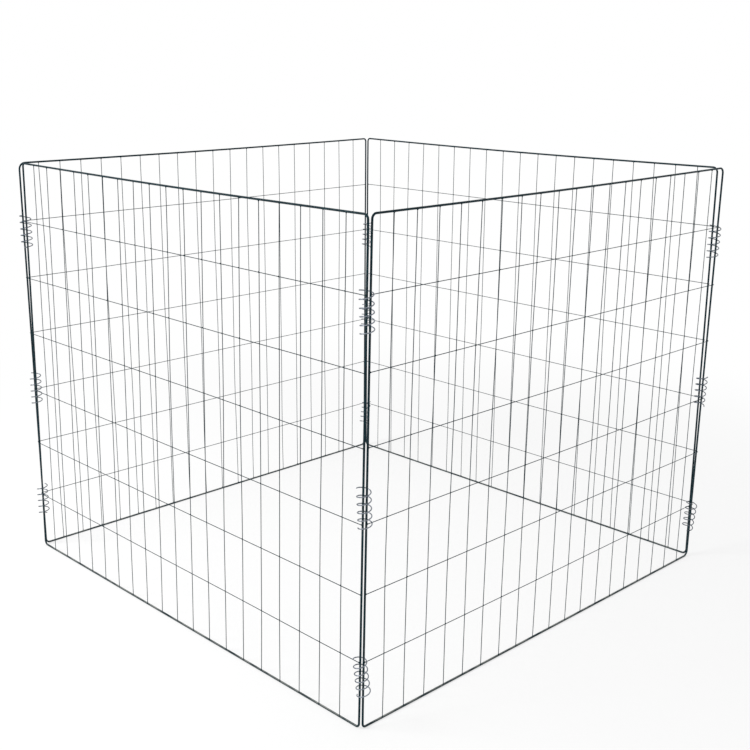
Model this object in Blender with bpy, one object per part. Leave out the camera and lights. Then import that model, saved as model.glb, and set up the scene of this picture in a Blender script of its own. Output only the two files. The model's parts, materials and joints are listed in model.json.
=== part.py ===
# Wire compost bin: four welded wire panels, joined at the corners by spiral wires.
#
# Each panel is a frame bent from one rod, with thin uprights welded into its rails and thin
# cross wires lapped on its outer face. Three spirals go loosely round the two side rods that
# meet at a corner. Each hangs askew, by one of its turns, on a cross wire. The corners are
# therefore hinges, and the bin folds flat.
#
# The spirals are so loose that the panels rack. Each one's top rail stands a little further
# along it, counter-clockwise, than its bottom rail. At a corner the side rod that a panel
# starts with leans away from the hinge axis, and the one that a panel ends with leans past it.
#
# Metres, +Z up, with the origin on the ground in the middle of the bin. The panels are front
# (-Y), right (+X), back (+Y) and left (-X). A panel's own X runs along it, counter-clockwise
# round the bin as seen from above, its own Y points into the bin, and its own origin is
# midway between the two hinge axes that it lies between.

import math

import bpy
import numpy as np

# Panel
PANEL_WIDTH = 0.904  # over the side rods
PANEL_HEIGHT = 0.762  # over the rails
ROD_DIAMETER = 0.0032
BEND_RADIUS = 0.014  # of the rod's centre line, at the frame's corners
WIRE_DIAMETER = 0.0011
UPRIGHTS = 19
CROSS_WIRES = 6
END_GAP = 0.89  # from a side rod to the first upright, as a share of the gap between uprights
MIDDLE_GAP = 1.05  # between the two middle cross wires, as a share of the gap between others
WELD_SINK = 0.0001  # the uprights' outer face stays this far inside the rails' outer face

# Spiral
SPIRAL_DIAMETER = 0.0219  # over the wire
SPIRAL_WIRE_DIAMETER = 0.0017
SPIRAL_PITCH = 0.012
SPIRAL_TURNS = 5

# Which cross wire of its panel, from the top, a spiral hangs on at each level. The second
# number is its lean, as a share of the most that the side rods inside it allow.
LEVELS = {"top": (1, 1.0), "middle": (4, 0.5), "bottom": (6, 1.0)}

# The spiral that hangs lower than the others of its level, and its cross wire
HUNG_LOWER = {"back_left_spiral_top": 2}

# The way a spiral's foot leans, in degrees from its panel's own X, and so a little outwards
LEAN_HEADING = -20

# How many of a spiral's turns are above the cross wire that it hangs on, at each level in turn
TURNS_ABOVE = {
    "front_left": (0.9, 2.6, 1.4),
    "front_right": (0.4, 4.4, 0.4),
    "back_right": (0.2, 3.6, 0.4),
    "back_left": (1.4, 3.6, 0.4),
}

# How far the panels rack, as a share of the most that the top spirals allow
RACK = 0.8

# Clearances
SEAT_GAP = 0.0003  # between pieces that touch
HINGE_PLAY = 0.0003  # between each side rod and the planes through the hinge axis

# Facets
ROD_SIDES = 8
WIRE_SIDES = 6
BEND_STEPS = 5
SPIRAL_STEPS = 10  # points for each turn
SPIRAL_BEVEL_RESOLUTION = 1  # which gives the tube 6 sides
SHARP_ANGLE = math.radians(50)  # edges bent more than this are shaded sharp
AXIS_MARK = 0.05  # the size that the joints' empties are shown at

# Colours, as linear RGB with alpha
COATING_COLOUR = (0.006, 0.017, 0.021, 1.0)
COATING_ROUGHNESS = 0.38
COATING_METALLIC = 0.0
ZINC_COLOUR = (0.26, 0.30, 0.33, 1.0)
ZINC_ROUGHNESS = 0.36
ZINC_METALLIC = 1.0

ROD_RADIUS = ROD_DIAMETER / 2
WIRE_RADIUS = WIRE_DIAMETER / 2
SPIRAL_WIRE_RADIUS = SPIRAL_WIRE_DIAMETER / 2
SPIRAL_RADIUS = SPIRAL_DIAMETER / 2 - SPIRAL_WIRE_RADIUS

# The hinge axis runs between the two side rods of a corner. Each rod is clear of the plane
# through the axis that its panel is folded about, and of the one square to it.
AXIS_TO_ROD = ROD_RADIUS + HINGE_PLAY
ROD_SPACING = PANEL_WIDTH - ROD_DIAMETER  # between the centre lines of a panel's side rods
AXIS_SPACING = ROD_SPACING + 2 * AXIS_TO_ROD
RAIL_SPACING = PANEL_HEIGHT - ROD_DIAMETER

# Positions along a panel's own Y, where the outside of the bin is negative
ROD_Y = -AXIS_TO_ROD
CROSS_WIRE_Y = ROD_Y - ROD_RADIUS - SEAT_GAP - WIRE_RADIUS
UPRIGHT_Y = ROD_Y - (ROD_RADIUS - WELD_SINK - WIRE_RADIUS)
CROSS_WIRE_LENGTH = PANEL_WIDTH


def corner_radius(flat_radius, sides):
    """The radius to the corners of a regular section whose flats lie at flat_radius."""
    return flat_radius / math.cos(math.pi / sides)


def material(name, colour, roughness, metallic):
    made = bpy.data.materials.new(name)
    made.use_nodes = True
    shader = made.node_tree.nodes["Principled BSDF"]
    shader.inputs["Base Color"].default_value = colour
    shader.inputs["Roughness"].default_value = roughness
    shader.inputs["Metallic"].default_value = metallic
    made.diffuse_color = colour
    return made


def section(flat_radius, sides):
    """The corners of a round bar's section, with a flat facing along each axis."""
    radius = corner_radius(flat_radius, sides)
    angles = [2 * math.pi * (i + 0.5) / sides for i in range(sides)]
    return [(radius * math.cos(angle), radius * math.sin(angle)) for angle in angles]


def mesh_of(name, points, faces):
    mesh = bpy.data.meshes.new(name)
    mesh.from_pydata(points, [], faces)
    mesh.shade_smooth()
    mesh.set_sharp_from_angle(angle=SHARP_ANGLE)
    return mesh


def side_faces(rings, sides, closed):
    """Quads between each ring of points and the next, and from the last to the first."""
    faces = []
    for ring in range(rings if closed else rings - 1):
        here = ring * sides
        there = (ring + 1) % rings * sides
        for side in range(sides):
            after = (side + 1) % sides
            faces.append((here + side, here + after, there + after, there + side))
    return faces


def cross_wire_height(count):
    """The height of a cross wire, counted from the top. The gap at half height is the tallest."""
    gap = RAIL_SPACING / (CROSS_WIRES + MIDDLE_GAP)
    if count <= CROSS_WIRES / 2:
        return ROD_RADIUS + RAIL_SPACING - gap * count
    return ROD_RADIUS + gap * (CROSS_WIRES + 1 - count)


def spiral_radius():
    """The distance of a spiral's points from its axis, so that it is as wide as a round coil."""
    return (SPIRAL_RADIUS + corner_radius(SPIRAL_RADIUS, SPIRAL_STEPS)) / 2


def hollow_radius():
    """How far from a spiral's axis the centre line of a side rod inside it can be."""
    hollow = spiral_radius() * math.cos(math.pi / SPIRAL_STEPS)
    hollow -= corner_radius(SPIRAL_WIRE_RADIUS, WIRE_SIDES)
    return hollow - corner_radius(ROD_RADIUS, ROD_SIDES) - SEAT_GAP


def rack_shift(height):
    """How much further along its panel a wire is, at a height, than one at the bottom rail.

    The most, at the top spirals, is the shift for which rods_in_spiral has the side rods
    reach as far from a spiral's axis as they can. All shifts with one reach lie on an ellipse
    round the hinge axis, with a half length of that reach and foci AXIS_TO_ROD to each side.
    """
    half_length = hollow_radius()
    half_width = math.sqrt(half_length**2 - AXIS_TO_ROD**2)
    most = half_length * math.sqrt(1 - (AXIS_TO_ROD / half_width) ** 2)
    return RACK * most * (height - ROD_RADIUS) / (cross_wire_height(1) - ROD_RADIUS)


def frame_mesh():
    """One rod bent to a racked rectangle with round corners, in the panel's own X and Z."""
    half_width = ROD_SPACING / 2 - BEND_RADIUS
    half_height = RAIL_SPACING / 2 - BEND_RADIUS
    middle = ROD_RADIUS + RAIL_SPACING / 2
    points = []
    for corner in range(4):
        signs = ((1, 1), (-1, 1), (-1, -1), (1, -1))[corner]
        for step in range(BEND_STEPS + 1):
            angle = math.pi / 2 * (corner + step / BEND_STEPS)
            out_x, out_z = math.cos(angle), math.sin(angle)
            for outwards, inwards in section(ROD_RADIUS, ROD_SIDES):
                reach = BEND_RADIUS + outwards
                height = middle + signs[1] * half_height + reach * out_z
                x = signs[0] * half_width + reach * out_x + rack_shift(height)
                points.append((x, ROD_Y + inwards, height))
    rings = len(points) // ROD_SIDES
    return mesh_of("panel_frame", points, side_faces(rings, ROD_SIDES, closed=True))


def bar(start, end, across, up):
    """The points and faces of one straight wire between two points."""
    points = [
        tuple(np.array(place) + x * np.array(across) + y * np.array(up))
        for place in (start, end)
        for x, y in section(WIRE_RADIUS, WIRE_SIDES)
    ]
    faces = side_faces(2, WIRE_SIDES, closed=False)
    faces.append(tuple(reversed(range(WIRE_SIDES))))
    faces.append(tuple(range(WIRE_SIDES, 2 * WIRE_SIDES)))
    return points, faces


def uprights_mesh():
    """All the uprights of a panel. Each ends on the centre lines of the two rails."""
    gap = ROD_SPACING / (UPRIGHTS - 1 + 2 * END_GAP)
    bottom, top = ROD_RADIUS, ROD_RADIUS + RAIL_SPACING
    points, faces = [], []
    for count in range(1, UPRIGHTS + 1):
        x = gap * (count - (UPRIGHTS + 1) / 2)
        low = (x, UPRIGHT_Y, bottom)
        high = (x + rack_shift(top), UPRIGHT_Y, top)
        # Across runs along Y, so that two flats of the section face the rails' own Y.
        new_points, new_faces = bar(low, high, across=(0, -1, 0), up=(1, 0, 0))
        first = len(points)
        points += new_points
        faces += [tuple(first + corner for corner in face) for face in new_faces]
    return mesh_of("panel_uprights", points, faces)


def cross_wire_mesh():
    """A cross wire along X, centred on its own origin."""
    end = (CROSS_WIRE_LENGTH / 2, 0, 0)
    start = (-CROSS_WIRE_LENGTH / 2, 0, 0)
    return mesh_of("cross_wire", *bar(start, end, across=(0, 1, 0), up=(0, 0, 1)))


def resting_height(turns_above):
    """The height, along a spiral's axis, of the turn that rests, above the spiral's middle."""
    return SPIRAL_PITCH * (SPIRAL_TURNS / 2 - turns_above)


def rods_in_spiral(shift):
    """Where a spiral's axis lies, from the hinge axis, and how far from it the side rods get.

    The axis is midway between the side rod of the spiral's own panel and the place of the
    other one that is furthest from it, as that turns about the hinge axis. Both rods have
    the same shift along their panels.
    """
    own_rod = np.array([AXIS_TO_ROD + shift, -AXIS_TO_ROD])
    own_reach = math.hypot(*own_rod)
    other_reach = math.hypot(AXIS_TO_ROD - shift, AXIS_TO_ROD)
    middle = own_rod / own_reach * (own_reach - other_reach) / 2
    return middle, (own_reach + other_reach) / 2


def full_lean(shift):
    """The lean at which a spiral's end turns bear on the side rods, however far they fold."""
    half_length = SPIRAL_PITCH * SPIRAL_TURNS / 2
    rods_own_lean = rack_shift(half_length) - rack_shift(0)
    room = hollow_radius() - rods_in_spiral(shift)[1] - rods_own_lean
    return math.atan2(room, half_length)


def resting_angle(turns_above, lean, middle_y):
    """Where a spiral crosses its cross wire, counted round its axis from the way it leans.

    Its centre line is there as far out of the bin as the wire, which is a cos(angle) +
    b sin(angle) + c along the panel's own Y, and it is where the wire leaves the spiral.
    """
    heading = math.radians(LEAN_HEADING)
    a = spiral_radius() * math.sin(heading) * math.cos(lean)
    b = spiral_radius() * math.cos(heading)
    c = middle_y - resting_height(turns_above) * math.sin(heading) * math.sin(lean)
    return math.atan2(b, a) - math.acos((CROSS_WIRE_Y - c) / math.hypot(a, b))


def spiral_points(turns_above, resting):
    """A right-handed spiral's centre line along its own Z, from its own middle.

    Its own X points the way it leans, and resting is the angle of the turn that rests. The
    other panel's cross wire passes between two turns, however far the corner folds.
    """
    radius = spiral_radius()
    steps = SPIRAL_TURNS * SPIRAL_STEPS
    points = []
    for step in range(steps + 1):
        turn = turns_above + (step - steps) / SPIRAL_STEPS
        angle = resting + 2 * math.pi * turn
        height = SPIRAL_PITCH * (step - steps / 2) / SPIRAL_STEPS
        points.append((radius * math.cos(angle), radius * math.sin(angle), height))
    return points


def middle_above_cross_wire(turns_above, lean, resting):
    """How far a spiral's middle is above the cross wire that one of its turns rests on."""
    steepest = math.atan2(SPIRAL_PITCH, 2 * math.pi * spiral_radius()) + lean
    wire = corner_radius(WIRE_RADIUS, WIRE_SIDES)
    tube = corner_radius(SPIRAL_WIRE_RADIUS, WIRE_SIDES)
    resting_turn = (wire + SEAT_GAP + tube) / math.cos(steepest)
    along_axis = resting_height(turns_above) * math.cos(lean)
    across_axis = spiral_radius() * math.cos(resting) * math.sin(lean)
    return resting_turn - along_axis - across_axis


def print_least_gap(name, points):
    """Prints how near a spiral's tube comes to itself, half a turn or more along it."""
    line = np.array(points)
    apart = np.linalg.norm(line[:, None] - line[None], axis=2)
    along = np.abs(np.arange(len(line))[:, None] - np.arange(len(line))[None])
    gap = apart[along > SPIRAL_STEPS / 2].min() - 2 * corner_radius(SPIRAL_WIRE_RADIUS, WIRE_SIDES)
    print(f"{name}: least gap to itself {1000 * gap:.1f} mm")


def spiral_curve(name, points):
    print_least_gap(name, points)
    curve = bpy.data.curves.new("spiral", "CURVE")
    curve.dimensions = "3D"
    curve.bevel_depth = corner_radius(SPIRAL_WIRE_RADIUS, WIRE_SIDES)
    curve.bevel_resolution = SPIRAL_BEVEL_RESOLUTION
    curve.use_fill_caps = True
    spline = curve.splines.new("POLY")
    spline.points.add(len(points) - 1)
    for place, point in zip(spline.points, points):
        place.co = (*point, 1.0)
    return curve


def joint_empty(name, parent, location, quarter_turns):
    """An empty on the axis that a panel turns about, which carries all of the panel."""
    empty = bpy.data.objects.new(name, None)
    bpy.context.collection.objects.link(empty)
    empty.empty_display_size = AXIS_MARK
    empty.parent = parent
    empty.location = location
    empty.rotation_euler[2] = math.pi / 2 * quarter_turns
    return empty


def place(name, data, parent, location, surface=None):
    placed = bpy.data.objects.new(name, data)
    bpy.context.collection.objects.link(placed)
    placed.parent = parent
    placed.location = location
    if surface and surface.name not in data.materials:
        data.materials.append(surface)
    return placed


def panel(side, carrier, middle_x, middle_y, shapes, coating):
    """A frame with its uprights welded in, and the cross wires on its outer face."""
    frame = place(f"{side}_frame", shapes["frame"], carrier, (middle_x, middle_y, 0), coating)
    uprights = place(f"{side}_uprights", shapes["uprights"], carrier, (middle_x, middle_y, 0))
    uprights.hide_render = True
    uprights.display_type = "WIRE"
    weld = frame.modifiers.new("weld_uprights", "BOOLEAN")
    weld.operation = "UNION"
    weld.object = uprights
    for count in range(1, CROSS_WIRES + 1):
        height = cross_wire_height(count)
        where = (middle_x + rack_shift(height), middle_y + CROSS_WIRE_Y, height)
        place(f"{side}_cross_wire_{count}", shapes["cross_wire"], carrier, where, coating)


def spirals(corner, carrier, axis_x, axis_y, zinc):
    """The three spirals of a corner, round the two side rods at the hinge axis."""
    for (level, (cross_wire, lean_share)), turns_above in zip(LEVELS.items(), TURNS_ABOVE[corner]):
        name = f"{corner}_spiral_{level}"
        wire_height = cross_wire_height(HUNG_LOWER.get(name, cross_wire))
        shift = rack_shift(wire_height - resting_height(turns_above))
        (middle_x, middle_y), _ = rods_in_spiral(shift)
        lean = full_lean(shift) * lean_share
        resting = resting_angle(turns_above, lean, middle_y)
        curve = spiral_curve(name, spiral_points(turns_above, resting))
        height = wire_height + middle_above_cross_wire(turns_above, lean, resting)
        where = (axis_x + middle_x, axis_y + middle_y, height)
        spiral = place(name, curve, carrier, where, zinc)
        spiral.rotation_euler = (0, -lean, math.radians(LEAN_HEADING))


for leftover in list(bpy.data.objects):
    bpy.data.objects.remove(leftover, do_unlink=True)

coating = material("dark_green_coating", COATING_COLOUR, COATING_ROUGHNESS, COATING_METALLIC)
zinc = material("zinc_plate", ZINC_COLOUR, ZINC_ROUGHNESS, ZINC_METALLIC)
shapes = {
    "frame": frame_mesh(),
    "uprights": uprights_mesh(),
    "cross_wire": cross_wire_mesh(),
}

# The front panel stands still. The right and left ones turn about the front corners, and the
# back one about the right one's far corner. The corner at the back left only has its spirals.
half = AXIS_SPACING / 2
front = joint_empty("front_panel", None, (0, 0, 0), 0)
right = joint_empty("right_panel", front, (half, -half, 0), 1)
back = joint_empty("back_panel", right, (AXIS_SPACING, 0, 0), 1)
left = joint_empty("left_panel", front, (-half, -half, 0), 3)

panel("front", front, 0, -half, shapes, coating)
panel("right", right, half, 0, shapes, coating)
panel("back", back, half, 0, shapes, coating)
panel("left", left, -half, 0, shapes, coating)

# A spiral hangs on the panel that starts at its corner, counter-clockwise.
spirals("front_left", front, -half, -half, zinc)
spirals("front_right", right, 0, 0, zinc)
spirals("back_right", back, 0, 0, zinc)
spirals("back_left", left, -AXIS_SPACING, 0, zinc)
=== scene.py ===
"""The looks of a wire compost bin: round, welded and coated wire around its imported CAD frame.

Metres, +Z up, with the origin on the ground in the middle of the bin. The pieces of a panel are
made in the panel's own directions: X along it, counter-clockwise round the bin as seen from
above, Y into the bin from the middle of its rods, and Z up from the ground.
"""

import json
import math

import bpy
import numpy as np
from mathutils import Matrix, Vector


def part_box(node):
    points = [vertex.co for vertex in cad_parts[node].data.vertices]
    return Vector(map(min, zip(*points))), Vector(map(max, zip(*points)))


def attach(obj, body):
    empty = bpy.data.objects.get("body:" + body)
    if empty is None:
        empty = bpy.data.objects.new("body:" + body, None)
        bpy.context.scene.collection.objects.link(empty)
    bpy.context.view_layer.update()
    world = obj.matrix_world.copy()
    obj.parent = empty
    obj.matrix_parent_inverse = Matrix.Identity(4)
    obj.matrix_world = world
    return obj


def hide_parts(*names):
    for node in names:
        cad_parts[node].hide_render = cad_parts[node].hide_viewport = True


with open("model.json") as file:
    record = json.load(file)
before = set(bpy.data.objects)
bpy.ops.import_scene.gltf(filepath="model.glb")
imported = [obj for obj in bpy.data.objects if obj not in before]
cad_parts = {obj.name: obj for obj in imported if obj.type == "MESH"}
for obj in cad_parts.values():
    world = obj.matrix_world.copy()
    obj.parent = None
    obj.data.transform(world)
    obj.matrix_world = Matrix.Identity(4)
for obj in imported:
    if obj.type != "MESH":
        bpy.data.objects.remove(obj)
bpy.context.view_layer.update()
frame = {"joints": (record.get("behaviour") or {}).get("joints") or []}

# Frame rods. The outline of each panel is one thick steel rod, bent to four round corners that
# differ a little, and butt-welded to itself. The panel is coated blackish green all over. Its
# side rods bow slightly and are rubbed bare inside the spirals, and the upward face of its
# lower rail is paler, partly as dust and partly as a painted highlight.
OVER_EIGHT_FLATS = 1.055  # a round rod's radius over an octagonal one's of the same mean width
low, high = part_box("front_frame")
FLAT_RADIUS = (high.y - low.y) / 2  # of the CAD's octagonal rod, to the middle of a flat
ROD_RADIUS = OVER_EIGHT_FLATS * FLAT_RADIUS
RODS_PLANE = (high.y + low.y) / 2
PANEL_HEIGHT = high.z - low.z
low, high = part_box("front_cross_wire_1")
PANEL_WIDTH = high.x - low.x
ROD_SPACING = PANEL_WIDTH - 2 * FLAT_RADIUS
RAIL_SPACING = PANEL_HEIGHT - 2 * ROD_RADIUS
top_wire_shift, top_wire_height = (high.x + low.x) / 2, (high.z + low.z) / 2
RACKING = top_wire_shift / (top_wire_height - FLAT_RADIUS)  # along the panel, for each metre up
BEND_RADII = {  # of the centre line, counter-clockwise from the lower right, seen from outside
    "front": (0.0065, 0.0070, 0.0055, 0.0080),
    "right": (0.0100, 0.0100, 0.0075, 0.0060),
    "back": (0.0080, 0.0065, 0.0090, 0.0090),
    "left": (0.0080, 0.0120, 0.0065, 0.0080),
}
BEND_STEPS = 12
ROD_STEPS = 36
ROD_SIDES = 20
SHARP_ANGLE = math.radians(50)  # edges sharper than this stay crisp
ROD_SEED = 11
WAVES = 5  # in the slight bends of a wire, each shorter and flatter than the one before
ROD_WAVER = 0.00002
SIDE_ROD_BOW = 0.00014  # towards the next panel's side rod: outwards, and as much into the bin
BOW_POWER = 16  # keeps the bow even to near the rod's ends
RAIL_WAVER = 0.0005
RAIL_SAGS = {"front": 0.0024, "right": 0.0018, "back": 0.0026, "left": 0.0018}

QUARTER_TURNS = {"front": 0, "right": 1, "back": 2, "left": 3}
CORNERS = {
    "front": ("front_left", "front_right"),
    "right": ("front_right", "back_right"),
    "back": ("back_right", "back_left"),
    "left": ("back_left", "front_left"),
}
LEVELS = ("top", "middle", "bottom")

COATING_DEEP = (0.0009, 0.0125, 0.0180, 1)
COATING_THIN = (0.0040, 0.0250, 0.0335, 1)
COATING_RUBBED = (0.085, 0.105, 0.112, 1)
# Pale dust on the tops of the lower rails, which is also a painted highlight there.
DUST_AND_HIGHLIGHT_COLOUR = (0.22, 0.23, 0.22, 1)
COATING_SHINE = 0.10
COATING_ROUGHNESS = 0.30
THIN_ROUGHNESS = 0.10  # added where thin; next two by scuffs, and by dust with painted highlight
SCUFF_ROUGHNESS = 0.15
DUST_AND_HIGHLIGHT_ROUGHNESS = 0.35
PATCHES_PER_METRE = 140
PATCH_EDGES = (0.35, 0.65)  # no patch where the noise is below these, and all patch above
GRAIN_PER_METRE = 1500
GRAIN_DETAIL = 3.0
GRAIN_DEPTH = 0.00006
GRAIN_STRENGTH = 0.5
SCUFFS_PER_METRE = 900
SCUFF_DETAIL = 5.0
SCUFF_EDGES = (0.50, 0.64)
SCUFF_STRETCH = (0.3, 1, 1)  # longer along the rod
SCUFF_FADE = 0.006  # at both ends of a spiral
SCUFFED_AT_END = 0.5
SIDE_ROD_REACH = 4 * ROD_RADIUS  # what is further in from a side rod's place isn't rubbed
DUST_AND_HIGHLIGHT_PATCHES_PER_METRE = 22
DUST_AND_HIGHLIGHT_DETAIL = 3.0
DUST_AND_HIGHLIGHT_EDGES = (0.35, 0.60)
DUST_AND_HIGHLIGHT_HEIGHT = 0.0045  # over the tops of the lower rails, which stand on the ground
DUST_AND_HIGHLIGHT_FADE = 0.001
UPWARD_EDGES = (0.1, 0.9)  # the dust and painted highlight lie where the surface faces up


class Shade:
    """A value in a material's nodes. Adding and multiplying such values adds Math nodes."""

    def __init__(self, tree, socket=None):
        self.tree = tree
        self.socket = socket

    def node(self, kind, settings=None, inputs=None, output=0):
        """Adds a node, its settings first and then its inputs, and gives one of its outputs."""
        made = self.tree.nodes.new("ShaderNode" + kind)
        for name, setting in (settings or {}).items():
            setattr(made, name, setting)
        for name, value in (inputs or {}).items():
            if isinstance(value, Shade):
                self.tree.links.new(value.socket, made.inputs[name])
            else:
                made.inputs[name].default_value = value
        return Shade(self.tree, made.outputs[output])

    def maths(self, operation, first, second):
        return self.node("Math", {"operation": operation}, {0: first, 1: second})

    def __add__(self, other):
        return self.maths("ADD", self, other)

    def __mul__(self, other):
        return self.maths("MULTIPLY", self, other)

    def __sub__(self, other):
        return self.maths("SUBTRACT", self, other)

    def __rsub__(self, other):
        return self.maths("SUBTRACT", other, self)

    __radd__ = __add__
    __rmul__ = __mul__

    def between(self, low, high):
        """0 where the value is low or less, 1 where it is high or more, smooth in between."""
        settings = {"interpolation_type": "SMOOTHSTEP"}
        inputs = {"Value": self, "From Min": low, "From Max": high}
        return self.node("MapRange", settings, inputs)

    def stretched(self, factors):
        """A place with its X, Y and Z multiplied, for marks that are longer one way."""
        inputs = {0: self, 1: factors}
        return self.node("VectorMath", {"operation": "MULTIPLY"}, inputs, output="Vector")

    def upwards(self):
        """The Z of a place or a direction."""
        return self.node("SeparateXYZ", inputs={"Vector": self}, output="Z")

    def noise(self, per_metre, detail=2.0):
        """Blotches over a place, about so many to the metre."""
        inputs = {"Vector": self, "Scale": per_metre, "Detail": detail}
        return self.node("TexNoise", {"noise_dimensions": "3D"}, inputs, output="Fac")

    def mix(self, first, second):
        """The first colour where the value is 0, and the second where it is 1."""
        inputs = {0: self, 6: first, 7: second}  # the node's colours are its sockets 6 and 7
        return self.node("Mix", {"data_type": "RGBA"}, inputs, output=2)


def new_finish(name):
    """A material, its surface shader, and a Shade to build its patterns with."""
    finish = bpy.data.materials.new(name)
    finish.use_nodes = True
    shader = finish.node_tree.nodes["Principled BSDF"]
    return finish, shader, Shade(finish.node_tree)


def connect(shader, **values):
    """Sets or links the inputs of a surface shader, named with _ for a space."""
    for name, value in values.items():
        socket = shader.inputs[name.replace("_", " ")]
        if isinstance(value, Shade):
            value.tree.links.new(value.socket, socket)
        else:
            socket.default_value = value


coating, shader, shade = new_finish("dark_green_coating")
along_wire = shade.node("Attribute", {"attribute_name": "straightened"}, output="Vector")
rubbed = shade.node("Attribute", {"attribute_name": "rubbed"}, output="Fac")
patches = along_wire.noise(PATCHES_PER_METRE).between(*PATCH_EDGES)
grain = along_wire.noise(GRAIN_PER_METRE, GRAIN_DETAIL)
low_down = DUST_AND_HIGHLIGHT_HEIGHT - shade.node("TexCoord", output="Object").upwards()
facing_up = shade.node("NewGeometry", output="Normal").upwards().between(*UPWARD_EDGES)
dust_and_highlight_patches = along_wire.noise(DUST_AND_HIGHLIGHT_PATCHES_PER_METRE, DUST_AND_HIGHLIGHT_DETAIL).between(*DUST_AND_HIGHLIGHT_EDGES)
# Dust and painted highlight: paler on the upward faces of the lower rails, in patches.
dust_and_highlight = facing_up * dust_and_highlight_patches * low_down.between(0.0, DUST_AND_HIGHLIGHT_FADE)
scratches = along_wire.stretched(SCUFF_STRETCH).noise(SCUFFS_PER_METRE, SCUFF_DETAIL)
scuffs = scratches.between(*SCUFF_EDGES) * rubbed
skin = dust_and_highlight.mix(patches.mix(COATING_DEEP, COATING_THIN), DUST_AND_HIGHLIGHT_COLOUR)
rougher = THIN_ROUGHNESS * patches + SCUFF_ROUGHNESS * scuffs + DUST_AND_HIGHLIGHT_ROUGHNESS * dust_and_highlight
bump = {"Strength": GRAIN_STRENGTH, "Distance": GRAIN_DEPTH, "Height": grain}
connect(
    shader,
    Base_Color=scuffs.mix(skin, COATING_RUBBED),
    Roughness=COATING_ROUGHNESS + rougher,
    Specular_IOR_Level=COATING_SHINE,
    Normal=shade.node("Bump", inputs=bump),
)


def panel_place(side):
    """The matrix from a panel's own directions to the bin's."""
    turn = Matrix.Rotation(math.pi / 2 * QUARTER_TURNS[side], 4, "Z")
    return turn @ Matrix.Translation((0, RODS_PLANE, 0))


def racked(x, z):
    """Where a point of an unracked panel is along the racked one."""
    return x + RACKING * (z - FLAT_RADIUS)


def waver(random, size):
    """A function for the slight bends of a long wire, from its start at 0 to its end at 1."""
    waves = np.arange(1, WAVES + 1)
    sizes = random.normal(0, size, len(waves)) / waves
    return lambda share: float(np.sum(sizes * np.sin(math.pi * waves * share)))


def round_wire(line, radius, sides, closed=False, across=(0, 1, 0)):
    """A round wire along a line, as its points, its faces and its straightened places.

    The places are where the points would be if the wire were pulled straight along X, so that
    marks on it can run along it. The line isn't parallel to across at its start.
    """
    line = np.array(line, float)
    after, before = np.roll(line, -1, axis=0), np.roll(line, 1, axis=0)
    if not closed:
        after[-1] = 2 * line[-1] - line[-2]
        before[0] = 2 * line[0] - line[1]
    heading = after - before
    heading /= np.linalg.norm(heading, axis=1)[:, None]
    out = np.array(across, float)
    steps = np.linalg.norm(np.diff(line, axis=0), axis=1)
    run = np.concatenate([[0], np.cumsum(steps)])
    if closed:  # the marks run along it both ways from its start, and meet half way round
        run = np.minimum(run, run[-1] + np.linalg.norm(line[0] - line[-1]) - run)
    angles = 2 * math.pi * np.arange(sides) / sides
    radii = np.broadcast_to(radius, len(line))
    points, places = [], []
    for centre, ahead, size, distance in zip(line, heading, radii, run):
        out = out - out.dot(ahead) * ahead
        out /= np.linalg.norm(out)
        up = np.cross(ahead, out)
        for angle in angles:
            y, z = size * math.cos(angle), size * math.sin(angle)
            points.append(centre + y * out + z * up)
            places.append((distance, y, z))
    faces = []
    for ring in range(len(line) if closed else len(line) - 1):
        here, there = ring * sides, (ring + 1) % len(line) * sides
        for side in range(sides):
            after_it = (side + 1) % sides
            faces.append((here + side, here + after_it, there + after_it, there + side))
    if not closed:
        last = (len(line) - 1) * sides
        faces.append(tuple(reversed(range(sides))))
        faces.append(tuple(range(last, last + sides)))
    return points, faces, places


def add_piece(name, shapes, finish, place, body, node, wear_and_shade=None, wear_and_shade_at=None):
    """Joins shapes into one piece that rides on a body and stands for a CAD node.

    The given function gives each point a share of the finish's pattern of that name: how far it
    is worn on the frame rods, and how much painted shade it gets on the spirals.
    """
    points, faces, places = [], [], []
    for shape_points, shape_faces, shape_places in shapes:
        first = len(points)
        points += [tuple(point) for point in shape_points]
        faces += [tuple(first + corner for corner in face) for face in shape_faces]
        places += shape_places
    mesh = bpy.data.meshes.new(name)
    mesh.from_pydata(points, [], faces)
    mesh.transform(place)
    mesh.shade_smooth()
    mesh.set_sharp_from_angle(angle=SHARP_ANGLE)
    mesh.materials.append(finish)
    straightened = mesh.attributes.new("straightened", "FLOAT_VECTOR", "POINT")
    straightened.data.foreach_set("vector", np.array(places, np.float32).ravel())
    if wear_and_shade:
        shares = mesh.attributes.new(wear_and_shade, "FLOAT", "POINT")
        shares.data.foreach_set("value", [wear_and_shade_at(point) for point in points])
    piece = bpy.data.objects.new(name, mesh)
    bpy.context.scene.collection.objects.link(piece)
    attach(piece, body)
    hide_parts(node)


def straight(start, end, outwards, bows):
    """Points of a rod between two corners, bowed outwards and into the bin."""
    points = []
    for step in range(1, ROD_STEPS):
        share = step / ROD_STEPS
        off = bows[0](share) * outwards + Vector((0, bows[1](share), 0))
        points.append(start.lerp(end, share) + off)
    return points


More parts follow.
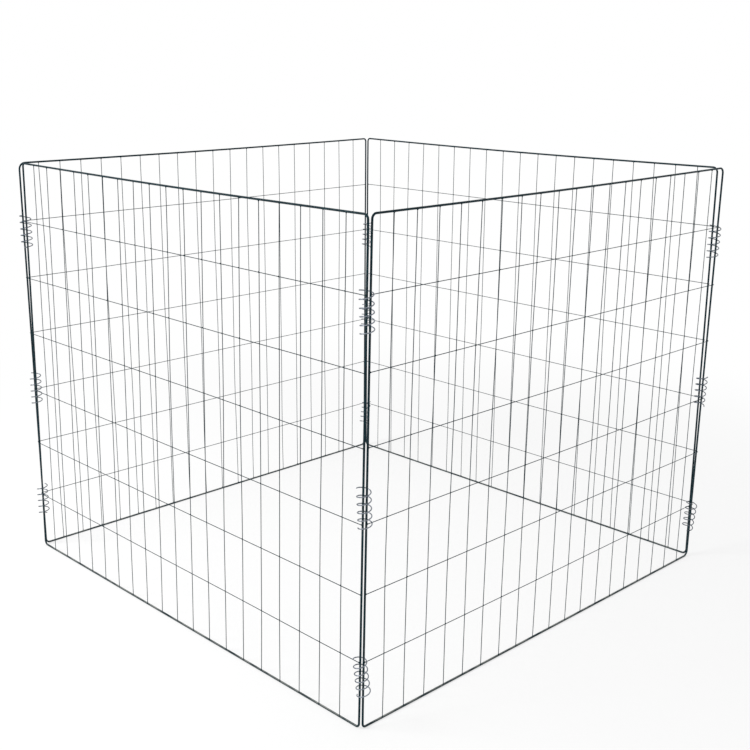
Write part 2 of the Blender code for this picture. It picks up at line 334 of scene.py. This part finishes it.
def rod_line(bows, radii):
    """A frame rod's centre line, counter-clockwise from its lower right corner."""
    signs = ((1, -1), (1, 1), (-1, 1), (-1, -1))
    arcs = []
    for quarter, ((x_sign, z_sign), radius) in enumerate(zip(signs, radii)):
        x = x_sign * (ROD_SPACING / 2 - radius)
        z = PANEL_HEIGHT / 2 + z_sign * (RAIL_SPACING / 2 - radius)
        arc = []
        for step in range(BEND_STEPS + 1):
            angle = math.pi / 2 * (quarter - 1 + step / BEND_STEPS)
            arc.append(Vector((x + radius * math.cos(angle), 0, z + radius * math.sin(angle))))
        arcs.append(arc)
    line = []
    for quarter, arc in enumerate(arcs):
        angle = math.pi / 2 * quarter
        outwards = Vector((math.cos(angle), 0, math.sin(angle)))
        next_arc = arcs[(quarter + 1) % len(arcs)]
        line += arc + straight(arc[-1], next_arc[0], outwards, bows[quarter])
    return [(racked(x, z), y, z) for x, y, z in line]


def no_bow(share):
    """The bow of the lower rails, which lie flat on the ground."""
    return 0.0


def sagging(depth):
    """A function for how far a top rail is off its straight line, depth below it halfway."""
    return lambda share: -depth * math.sin(math.pi * share)


def side_bow(random):
    """The bow of a side rod, nearly even over its length, outwards or into the bin."""
    sway = waver(random, ROD_WAVER)
    return lambda share: SIDE_ROD_BOW * (1 - (2 * share - 1) ** BOW_POWER) + sway(share)


def rubbing_of(side):
    """A function for how much a point of a panel's rod is rubbed by the spirals round it."""
    spans = []
    for x_sign, corner in zip((-1, 1), CORNERS[side]):
        for level in LEVELS:
            low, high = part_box(f"{corner}_spiral_{level}")
            spans.append((x_sign, low.z, high.z))

    def rubbing(point):
        x, _, z = point
        inside = [
            min(z - lowest, highest - z) / SCUFF_FADE
            for x_sign, lowest, highest in spans
            if x * x_sign > ROD_SPACING / 2 - SIDE_ROD_REACH
        ]
        return min(1.0, max(0.0, SCUFFED_AT_END + max(inside, default=-1.0)))

    return rubbing


random = np.random.default_rng(ROD_SEED)
rod_bows = {}
for side, sag in RAIL_SAGS.items():
    rod_bows[side] = (
        (side_bow(random), side_bow(random)),
        (sagging(sag), waver(random, RAIL_WAVER)),
        (side_bow(random), side_bow(random)),
        (no_bow, no_bow),
    )
    line = rod_line(rod_bows[side], BEND_RADII[side])
    shape = round_wire(line, ROD_RADIUS, ROD_SIDES, closed=True)
    add_piece(
        f"{side}_rod", [shape], coating, panel_place(side),
        body=f"{side}_panel", node=f"{side}_frame",
        wear_and_shade="rubbed", wear_and_shade_at=rubbing_of(side),
    )

# Uprights. Nineteen thin steel wires in each panel, cut to length and welded between the two
# rails. Each is drawn and straightened by rollers, so that it keeps some slight bends.
UPRIGHT_SEED = 23
UPRIGHTS = 19
END_GAP = 0.89  # from a side rod to the first upright, as a share of the gap between uprights
WELD_SINK = 0.0001  # their outer face stays this far inside the rods' outer face
OVER_SIX_FLATS = 1.103  # a round wire's radius over a hexagonal one's of the same mean width
low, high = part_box("front_cross_wire_1")
WIRE_RADIUS = OVER_SIX_FLATS * (high.y - low.y) / 2
WIRE_SIDES = 12
WIRE_STEPS = 48
WIRE_WAVER = 0.0009
UPRIGHT_Y = WIRE_RADIUS + WELD_SINK - ROD_RADIUS
UPRIGHT_GAP = ROD_SPACING / (UPRIGHTS - 1 + 2 * END_GAP)
BEAD_RINGS = 7
BEAD_SIDES = 12
BEAD_GROWTH = (0.88, 1.12)
BEAD_LUMPS = 0.12
RAIL_BEAD = (0.0014, 0.0010, 0.0015)
RAIL_BEAD_Y = -0.0010
RAIL_BEAD_IN = 0.0013  # from the rail's centre line towards the middle of the panel


def bead(centre, sizes, random):
    """A weld's lumpy, rounded bead of coated metal, given half its sizes along X, Y and Z."""
    centre, sizes = np.array(centre), np.array(sizes) * random.uniform(*BEAD_GROWTH)
    lumps = random.uniform(-BEAD_LUMPS, BEAD_LUMPS, 2)
    points = [centre - (0, 0, sizes[2])]
    for ring in range(1, BEAD_RINGS):
        tilt = math.pi * ring / BEAD_RINGS
        out = math.sin(tilt)
        for side in range(BEAD_SIDES):
            turn = 2 * math.pi * side / BEAD_SIDES
            lump = 1 + lumps[0] * math.cos(turn) + lumps[1] * math.sin(2 * turn) * out
            way = (out * math.cos(turn), out * math.sin(turn), -math.cos(tilt))
            points.append(centre + sizes * way * (lump, lump, 1))
    points.append(centre + (0, 0, sizes[2]))
    top = len(points) - 1
    faces = []
    for side in range(BEAD_SIDES):
        after = (side + 1) % BEAD_SIDES
        faces.append((0, 1 + after, 1 + side))
        faces.append((top - BEAD_SIDES + side, top - BEAD_SIDES + after, top))
        for ring in range(BEAD_RINGS - 2):
            here, there = 1 + ring * BEAD_SIDES, 1 + (ring + 1) * BEAD_SIDES
            faces.append((here + side, here + after, there + after, there + side))
    return points, faces, [tuple(point - centre) for point in points]


def top_rail(side, x):
    """How far the sagging top rail is off its straight line, in Y and Z, at an upright."""
    _, start_radius, end_radius, _ = BEND_RADII[side]
    start, end = ROD_SPACING / 2 - start_radius, end_radius - ROD_SPACING / 2
    share = (start - x) / (start - end)
    sag, across = rod_bows[side][1]
    return across(share), sag(share)


random = np.random.default_rng(UPRIGHT_SEED)
upright_lines = {}
for side in QUARTER_TURNS:
    shapes = []
    upright_lines[side] = []
    for count in range(1, UPRIGHTS + 1):
        x = UPRIGHT_GAP * (count - (UPRIGHTS + 1) / 2)
        across, sag = top_rail(side, x)
        length = RAIL_SPACING + sag
        bow = waver(random, WIRE_WAVER)
        waver(random, WIRE_WAVER)  # drawn but not used, since the draws after it depend on it
        line = []
        for share in np.linspace(0, 1, WIRE_STEPS + 1):
            z = ROD_RADIUS + share * length
            line.append((racked(x, z) + bow(share), UPRIGHT_Y + share * across, z))
        upright_lines[side].append((x, bow, length))
        shapes.append(round_wire(line, WIRE_RADIUS, WIRE_SIDES))
        for share, inwards in ((0, RAIL_BEAD_IN), (1, -RAIL_BEAD_IN)):
            z = ROD_RADIUS + share * length + inwards
            where = (racked(x, z), RAIL_BEAD_Y + share * across, z)
            shapes.append(bead(where, RAIL_BEAD, random))
    add_piece(
        f"{side}_uprights", shapes, coating, panel_place(side),
        body=f"{side}_panel", node=f"{side}_frame",
    )

# Cross wires. Six thin steel wires in each panel, lapped over the outer side of the uprights
# and the side rods. They are welded to each of them under pressure, and so sink in a little.
CROSS_SEED = 37
CROSS_WIRES = 6
LAP_SINK = 0.00015  # into the side rods
CROSS_WIRE_Y = LAP_SINK - ROD_RADIUS - WIRE_RADIUS
CROSS_WAVER = 0.0004
CROSS_STEPS = 120
WIRE_BEAD = (0.00115, 0.00105, 0.00115)
WIRE_BEAD_Y = (CROSS_WIRE_Y + UPRIGHT_Y) / 2
ROD_BEAD = (0.00165, 0.00090, 0.00125)
ROD_BEAD_IN = 0.0003


def height_of(wire):
    """The height of a CAD cross wire's middle."""
    low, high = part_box(wire)
    return (low.z + high.z) / 2


def wavy_height(height, random):
    """A function for a cross wire's height at a place along the unracked panel."""
    sway = waver(random, CROSS_WAVER)
    return lambda x: height + sway(x / PANEL_WIDTH + 0.5)


random = np.random.default_rng(CROSS_SEED)
for side in QUARTER_TURNS:
    for count in range(1, CROSS_WIRES + 1):
        name = f"{side}_cross_wire_{count}"
        height = height_of(name)
        height_at = wavy_height(height, random)
        line = []
        for x in np.linspace(-PANEL_WIDTH / 2, PANEL_WIDTH / 2, CROSS_STEPS + 1):
            line.append((racked(x, height), CROSS_WIRE_Y, height_at(x)))
        shapes = [round_wire(line, WIRE_RADIUS, WIRE_SIDES)]
        for x, bow, length in upright_lines[side]:
            share = (height - ROD_RADIUS) / length
            where = (racked(x, height) + bow(share), WIRE_BEAD_Y, height_at(x))
            shapes.append(bead(where, WIRE_BEAD, random))
        for x in (-ROD_SPACING / 2, ROD_SPACING / 2):
            where = (racked(x, height), CROSS_WIRE_Y + ROD_BEAD_IN, height_at(x))
            shapes.append(bead(where, ROD_BEAD, random))
        add_piece(
            name + "_round", shapes, coating, panel_place(side),
            body=f"{side}_panel", node=name,
        )

# Spirals. Three at each corner, each of zinc plated steel wire wound to a loose right-handed
# coil of five turns, screwed on over the two side rods, and hung askew on a cross wire.
ZINC_BRIGHT = (0.32, 0.35, 0.40, 1)
ZINC_DULL = (0.12, 0.135, 0.16, 1)
# The colour that the spirals are painted towards as painted shade.
ZINC_PAINTED_SHADE = (0.050, 0.066, 0.085, 1)
ZINC_ROUGHNESS = 0.30
CLOUD_ROUGHNESS = 0.18  # what clouds add
CLOUDS_PER_METRE = 220
CLOUD_EDGES = (0.35, 0.65)
STREAKS_PER_METRE = 2600
STREAK_DETAIL = 3.0
STREAK_STRETCH = (0.04, 1, 1)  # long ones, the way the wire was drawn
STREAK_DEPTH = 0.00004
STREAK_STRENGTH = 0.35
CLOUDS_DULL, STREAKS_DULL = 0.55, 0.45
DARK_EVENLY, DARK_IN_CLOUDS = 0.7, 0.6
# Shares of painted shade for each corner's spirals: little at the front right, much at the
# others.
PAINTED_SHADE_BY_CORNER = {"front_left": 0.75, "front_right": 0.15, "back_right": 0.75, "back_left": 0.85}

zinc, shader, shade = new_finish("zinc_plate")
along_wire = shade.node("Attribute", {"attribute_name": "straightened"}, output="Vector")
painted_shade = shade.node("Attribute", {"attribute_name": "painted_shade"}, output="Fac")
streaks = along_wire.stretched(STREAK_STRETCH).noise(STREAKS_PER_METRE, STREAK_DETAIL)
clouds = along_wire.noise(CLOUDS_PER_METRE).between(*CLOUD_EDGES)
dull = CLOUDS_DULL * clouds + STREAKS_DULL * streaks
# Painted shade: the corner's share, a little stronger in the clouds.
dark = painted_shade * (DARK_EVENLY + DARK_IN_CLOUDS * clouds)
bump = {"Strength": STREAK_STRENGTH, "Distance": STREAK_DEPTH, "Height": streaks}
connect(
    shader,
    Base_Color=dark.mix(dull.mix(ZINC_BRIGHT, ZINC_DULL), ZINC_PAINTED_SHADE),
    Metallic=1.0,
    Roughness=ZINC_ROUGHNESS + CLOUD_ROUGHNESS * clouds,
    Normal=shade.node("Bump", inputs=bump),
)

SPIRAL_SEED = 53
SPIRAL_DIAMETER = 0.0219
SPIRAL_WIRE_RADIUS = 0.00085
SPIRAL_PITCH = 0.012
SPIRAL_TURNS = 5
SPIRAL_STEPS = 32
SPIRAL_SIDES = 12
SPIRAL_RADIUS = SPIRAL_DIAMETER / 2 - SPIRAL_WIRE_RADIUS
HALF_LENGTH = SPIRAL_PITCH * SPIRAL_TURNS / 2
HOLLOW_RADIUS = 0.00684  # how far from a spiral's axis the centre lines of the rods can be
LEAN_HEADING = math.radians(-20)  # the way a spiral's foot leans, from the panel's own X
HUNG_ON = {"top": (1, 1.0), "middle": (4, 0.5), "bottom": (6, 1.0)}  # cross wire, share of lean
HUNG_LOWER = {"back_left_spiral_top": 2}
TURNS_ABOVE = {  # turns above that cross wire, from the top spiral down
    "front_left": (0.9, 2.6, 1.4),
    "front_right": (0.4, 4.4, 0.4),
    "back_right": (0.2, 3.6, 0.4),
    "back_left": (1.4, 3.6, 0.4),
}
PITCH_WAVER = 0.0003
WIDTH_WAVER = 0.00010
CUT_END = ((0.0, 0.6), (0.12, 0.88), (0.45, 1.0))  # along and across, as shares of its radius

axes = {joint["name"]: Vector(joint["pos_m"]) for joint in frame["joints"]}
AXIS_SPACING = (axes["front_right_hinge"] - axes["front_left_hinge"]).length
AXIS_TO_ROD = (AXIS_SPACING - ROD_SPACING) / 2


def rods_in_spiral(shift):
    """Where a spiral's axis is, from the hinge axis, and how far from it the side rods get."""
    own_rod = Vector((AXIS_TO_ROD + shift, -AXIS_TO_ROD))
    other_reach = math.hypot(AXIS_TO_ROD - shift, AXIS_TO_ROD)
    middle = own_rod.normalized() * (own_rod.length - other_reach) / 2
    return middle, (own_rod.length + other_reach) / 2


def spiral_line(turns_above, lean, middle_y, random):
    """A spiral's centre line from its own middle, and that middle's height above the wire.

    The spiral's own X is the way its foot leans. At an angle round its axis, the turn that
    rests on the cross wire is at axis_y + by_cosine * cos + by_sine * sin across the panel.
    """
    stretch, swell = waver(random, PITCH_WAVER), waver(random, WIDTH_WAVER)
    resting = 1 - turns_above / SPIRAL_TURNS
    wire_y = CROSS_WIRE_Y - AXIS_TO_ROD
    resting_height = SPIRAL_PITCH * (SPIRAL_TURNS / 2 - turns_above)
    by_cosine = SPIRAL_RADIUS * math.sin(LEAN_HEADING) * math.cos(lean)
    by_sine = SPIRAL_RADIUS * math.cos(LEAN_HEADING)
    axis_y = middle_y - resting_height * math.sin(LEAN_HEADING) * math.sin(lean)
    off_peak = math.acos((wire_y - axis_y) / math.hypot(by_cosine, by_sine))
    resting_angle = math.atan2(by_sine, by_cosine) - off_peak
    line = []
    for step in range(SPIRAL_TURNS * SPIRAL_STEPS + 1):
        turns = step / SPIRAL_STEPS
        share = turns / SPIRAL_TURNS
        angle = resting_angle + 2 * math.pi * (turns_above + turns - SPIRAL_TURNS)
        height = SPIRAL_PITCH * (turns - SPIRAL_TURNS / 2) + stretch(share) - stretch(resting)
        radius = SPIRAL_RADIUS + swell(share) - swell(resting)
        line.append((radius * math.cos(angle), radius * math.sin(angle), height))
    steepest = math.atan2(SPIRAL_PITCH, 2 * math.pi * SPIRAL_RADIUS) + lean
    above_wire = (WIRE_RADIUS + SPIRAL_WIRE_RADIUS) / math.cos(steepest)
    above_wire -= resting_height * math.cos(lean)
    above_wire -= SPIRAL_RADIUS * math.cos(resting_angle) * math.sin(lean)
    return line, above_wire


def cut_wire(line, radius):
    """A wire's line and radii, with the sharp edges of both its cut ends taken off."""
    line = np.array(line)
    ends = []
    for first, second in ((line[0], line[1]), (line[-1], line[-2])):
        ahead = radius * (second - first) / np.linalg.norm(second - first)
        ends.append([first + along * ahead for along, _ in CUT_END])
    across = [radius * share for _, share in CUT_END]
    radii = across + [radius] * (len(line) - 2) + across[::-1]
    return np.concatenate([ends[0], line[1:-1], ends[1][::-1]]), radii


random = np.random.default_rng(SPIRAL_SEED)
for side, (corner, _) in CORNERS.items():
    # The painted shade of this corner's spirals, even over each of them.
    corner_painted_shade = PAINTED_SHADE_BY_CORNER[corner]
    for level, turns_above in zip(LEVELS, TURNS_ABOVE[corner]):
        name = f"{corner}_spiral_{level}"
        wire, lean_share = HUNG_ON[level]
        wire_height = height_of(f"{side}_cross_wire_{HUNG_LOWER.get(name, wire)}")
        spiral_height = wire_height - HALF_LENGTH + SPIRAL_PITCH * turns_above
        (middle_x, middle_y), reach = rods_in_spiral(racked(0, spiral_height))
        room = HOLLOW_RADIUS - reach - RACKING * HALF_LENGTH
        lean = lean_share * math.atan2(room, HALF_LENGTH)
        line, above_wire = spiral_line(turns_above, lean, middle_y, random)
        x, y = middle_x - AXIS_SPACING / 2, middle_y + AXIS_TO_ROD
        middle = Matrix.Translation((x, y, wire_height + above_wire))
        turn = Matrix.Rotation(LEAN_HEADING, 4, "Z") @ Matrix.Rotation(-lean, 4, "Y")
        line, radii = cut_wire(line, SPIRAL_WIRE_RADIUS)
        shape = round_wire(line, radii, SPIRAL_SIDES, across=(0, 0, 1))
        add_piece(
            name + "_round", [shape], zinc, panel_place(side) @ middle @ turn,
            body=f"{side}_panel", node=name,
            wear_and_shade="painted_shade", wear_and_shade_at=lambda point: corner_painted_shade,
        )

# Floor and light. A pale floor that turns to plain white away from the bin, under an even white
# sky with one large soft lamp, which gives the wires their faint shadow and their sheen.
WHITE = (1, 1, 1, 1)
FLOOR_COLOUR = (0.96, 0.96, 0.96, 1)
FLOOR_ROUGHNESS = 0.9
FLOOR_RADIUS = 9
FLOOR_SIDES = 96
WHITE_NEAR = 0.62  # share of plain white that the camera sees in the floor under the bin
WHITE_FROM, WHITE_FULL = 0.8, 1.9
SKY_LIGHT = 0.70
LAMP_PLACE = (-1.3, -2.8, 2.5)
LAMP_AIM = (0, 0, 0.35)
LAMP_SIZE = 1.6
LAMP_POWER = 84


def seen_rays(shade):
    """1 for what the camera sees, also in metal and through glass, and 0 for what lights it."""
    seen = shade.node("LightPath", output="Is Camera Ray")
    for name in ("Is Glossy Ray", "Is Transmission Ray"):
        seen = shade.maths("MAXIMUM", seen, shade.node("LightPath", output=name))
    return seen


world = bpy.data.worlds.new("sky")
world.use_nodes = True
bpy.context.scene.world = world
sky = Shade(world.node_tree)
background = world.node_tree.nodes["Background"]
background.inputs["Color"].default_value = WHITE
background.inputs["Strength"].default_value = SKY_LIGHT
lit = Shade(sky.tree, background.outputs[0])
white = sky.node("Background", inputs={"Color": WHITE, "Strength": 1.0})
either = sky.node("MixShader", inputs={0: seen_rays(sky), 1: lit, 2: white})
sky.tree.links.new(either.socket, world.node_tree.nodes["World Output"].inputs["Surface"])

bpy.ops.mesh.primitive_circle_add(vertices=FLOOR_SIDES, radius=FLOOR_RADIUS, fill_type="NGON")
floor = bpy.context.object
floor.name = "floor"
floor_finish, shader, shade = new_finish("pale_floor")
connect(shader, Base_Color=FLOOR_COLOUR, Roughness=FLOOR_ROUGHNESS, Specular_IOR_Level=0.0)
from_middle = {0: shade.node("TexCoord", output="Object")}
distance = shade.node("VectorMath", {"operation": "LENGTH"}, from_middle, output="Value")
whiteness = WHITE_NEAR + (1 - WHITE_NEAR) * distance.between(WHITE_FROM, WHITE_FULL)
pale = Shade(shade.tree, shader.outputs[0])
white = shade.node("Emission", inputs={"Color": WHITE, "Strength": 1.0})
surface = shade.node("MixShader", inputs={0: whiteness * seen_rays(shade), 1: pale, 2: white})
shade.tree.links.new(surface.socket, shade.tree.nodes["Material Output"].inputs["Surface"])
floor.data.materials.append(floor_finish)

lamp_data = bpy.data.lights.new("soft_lamp", "AREA")
lamp_data.size = LAMP_SIZE
lamp_data.energy = LAMP_POWER
lamp = bpy.data.objects.new("soft_lamp", lamp_data)
lamp.location = LAMP_PLACE
lamp.rotation_euler = (Vector(LAMP_AIM) - lamp.location).to_track_quat("-Z", "Y").to_euler()
bpy.context.scene.collection.objects.link(lamp)

# Camera. It looks down on the front right corner from a little above the rim. The photograph
# is a little off the middle of the lens's picture.
SENSOR_WIDTH = 36  # in millimetres, as the focal length
FOCAL_LENGTH = 56.458
PICTURE_SHIFT = (0.06, -0.012)
CAMERA_PLACE = (1.5387, -1.5354, 0.9736)
CAMERA_ANGLES = (74.7097, -0.2210, 46.9211)

camera_data = bpy.data.cameras.new("camera")
camera_data.sensor_width = SENSOR_WIDTH
camera_data.lens = FOCAL_LENGTH
camera_data.shift_x, camera_data.shift_y = PICTURE_SHIFT
camera = bpy.data.objects.new("camera", camera_data)
camera.location = CAMERA_PLACE
camera.rotation_euler = [math.radians(angle) for angle in CAMERA_ANGLES]
bpy.context.scene.collection.objects.link(camera)
bpy.context.scene.camera = camera
bpy.context.scene.view_settings.view_transform = "Standard"
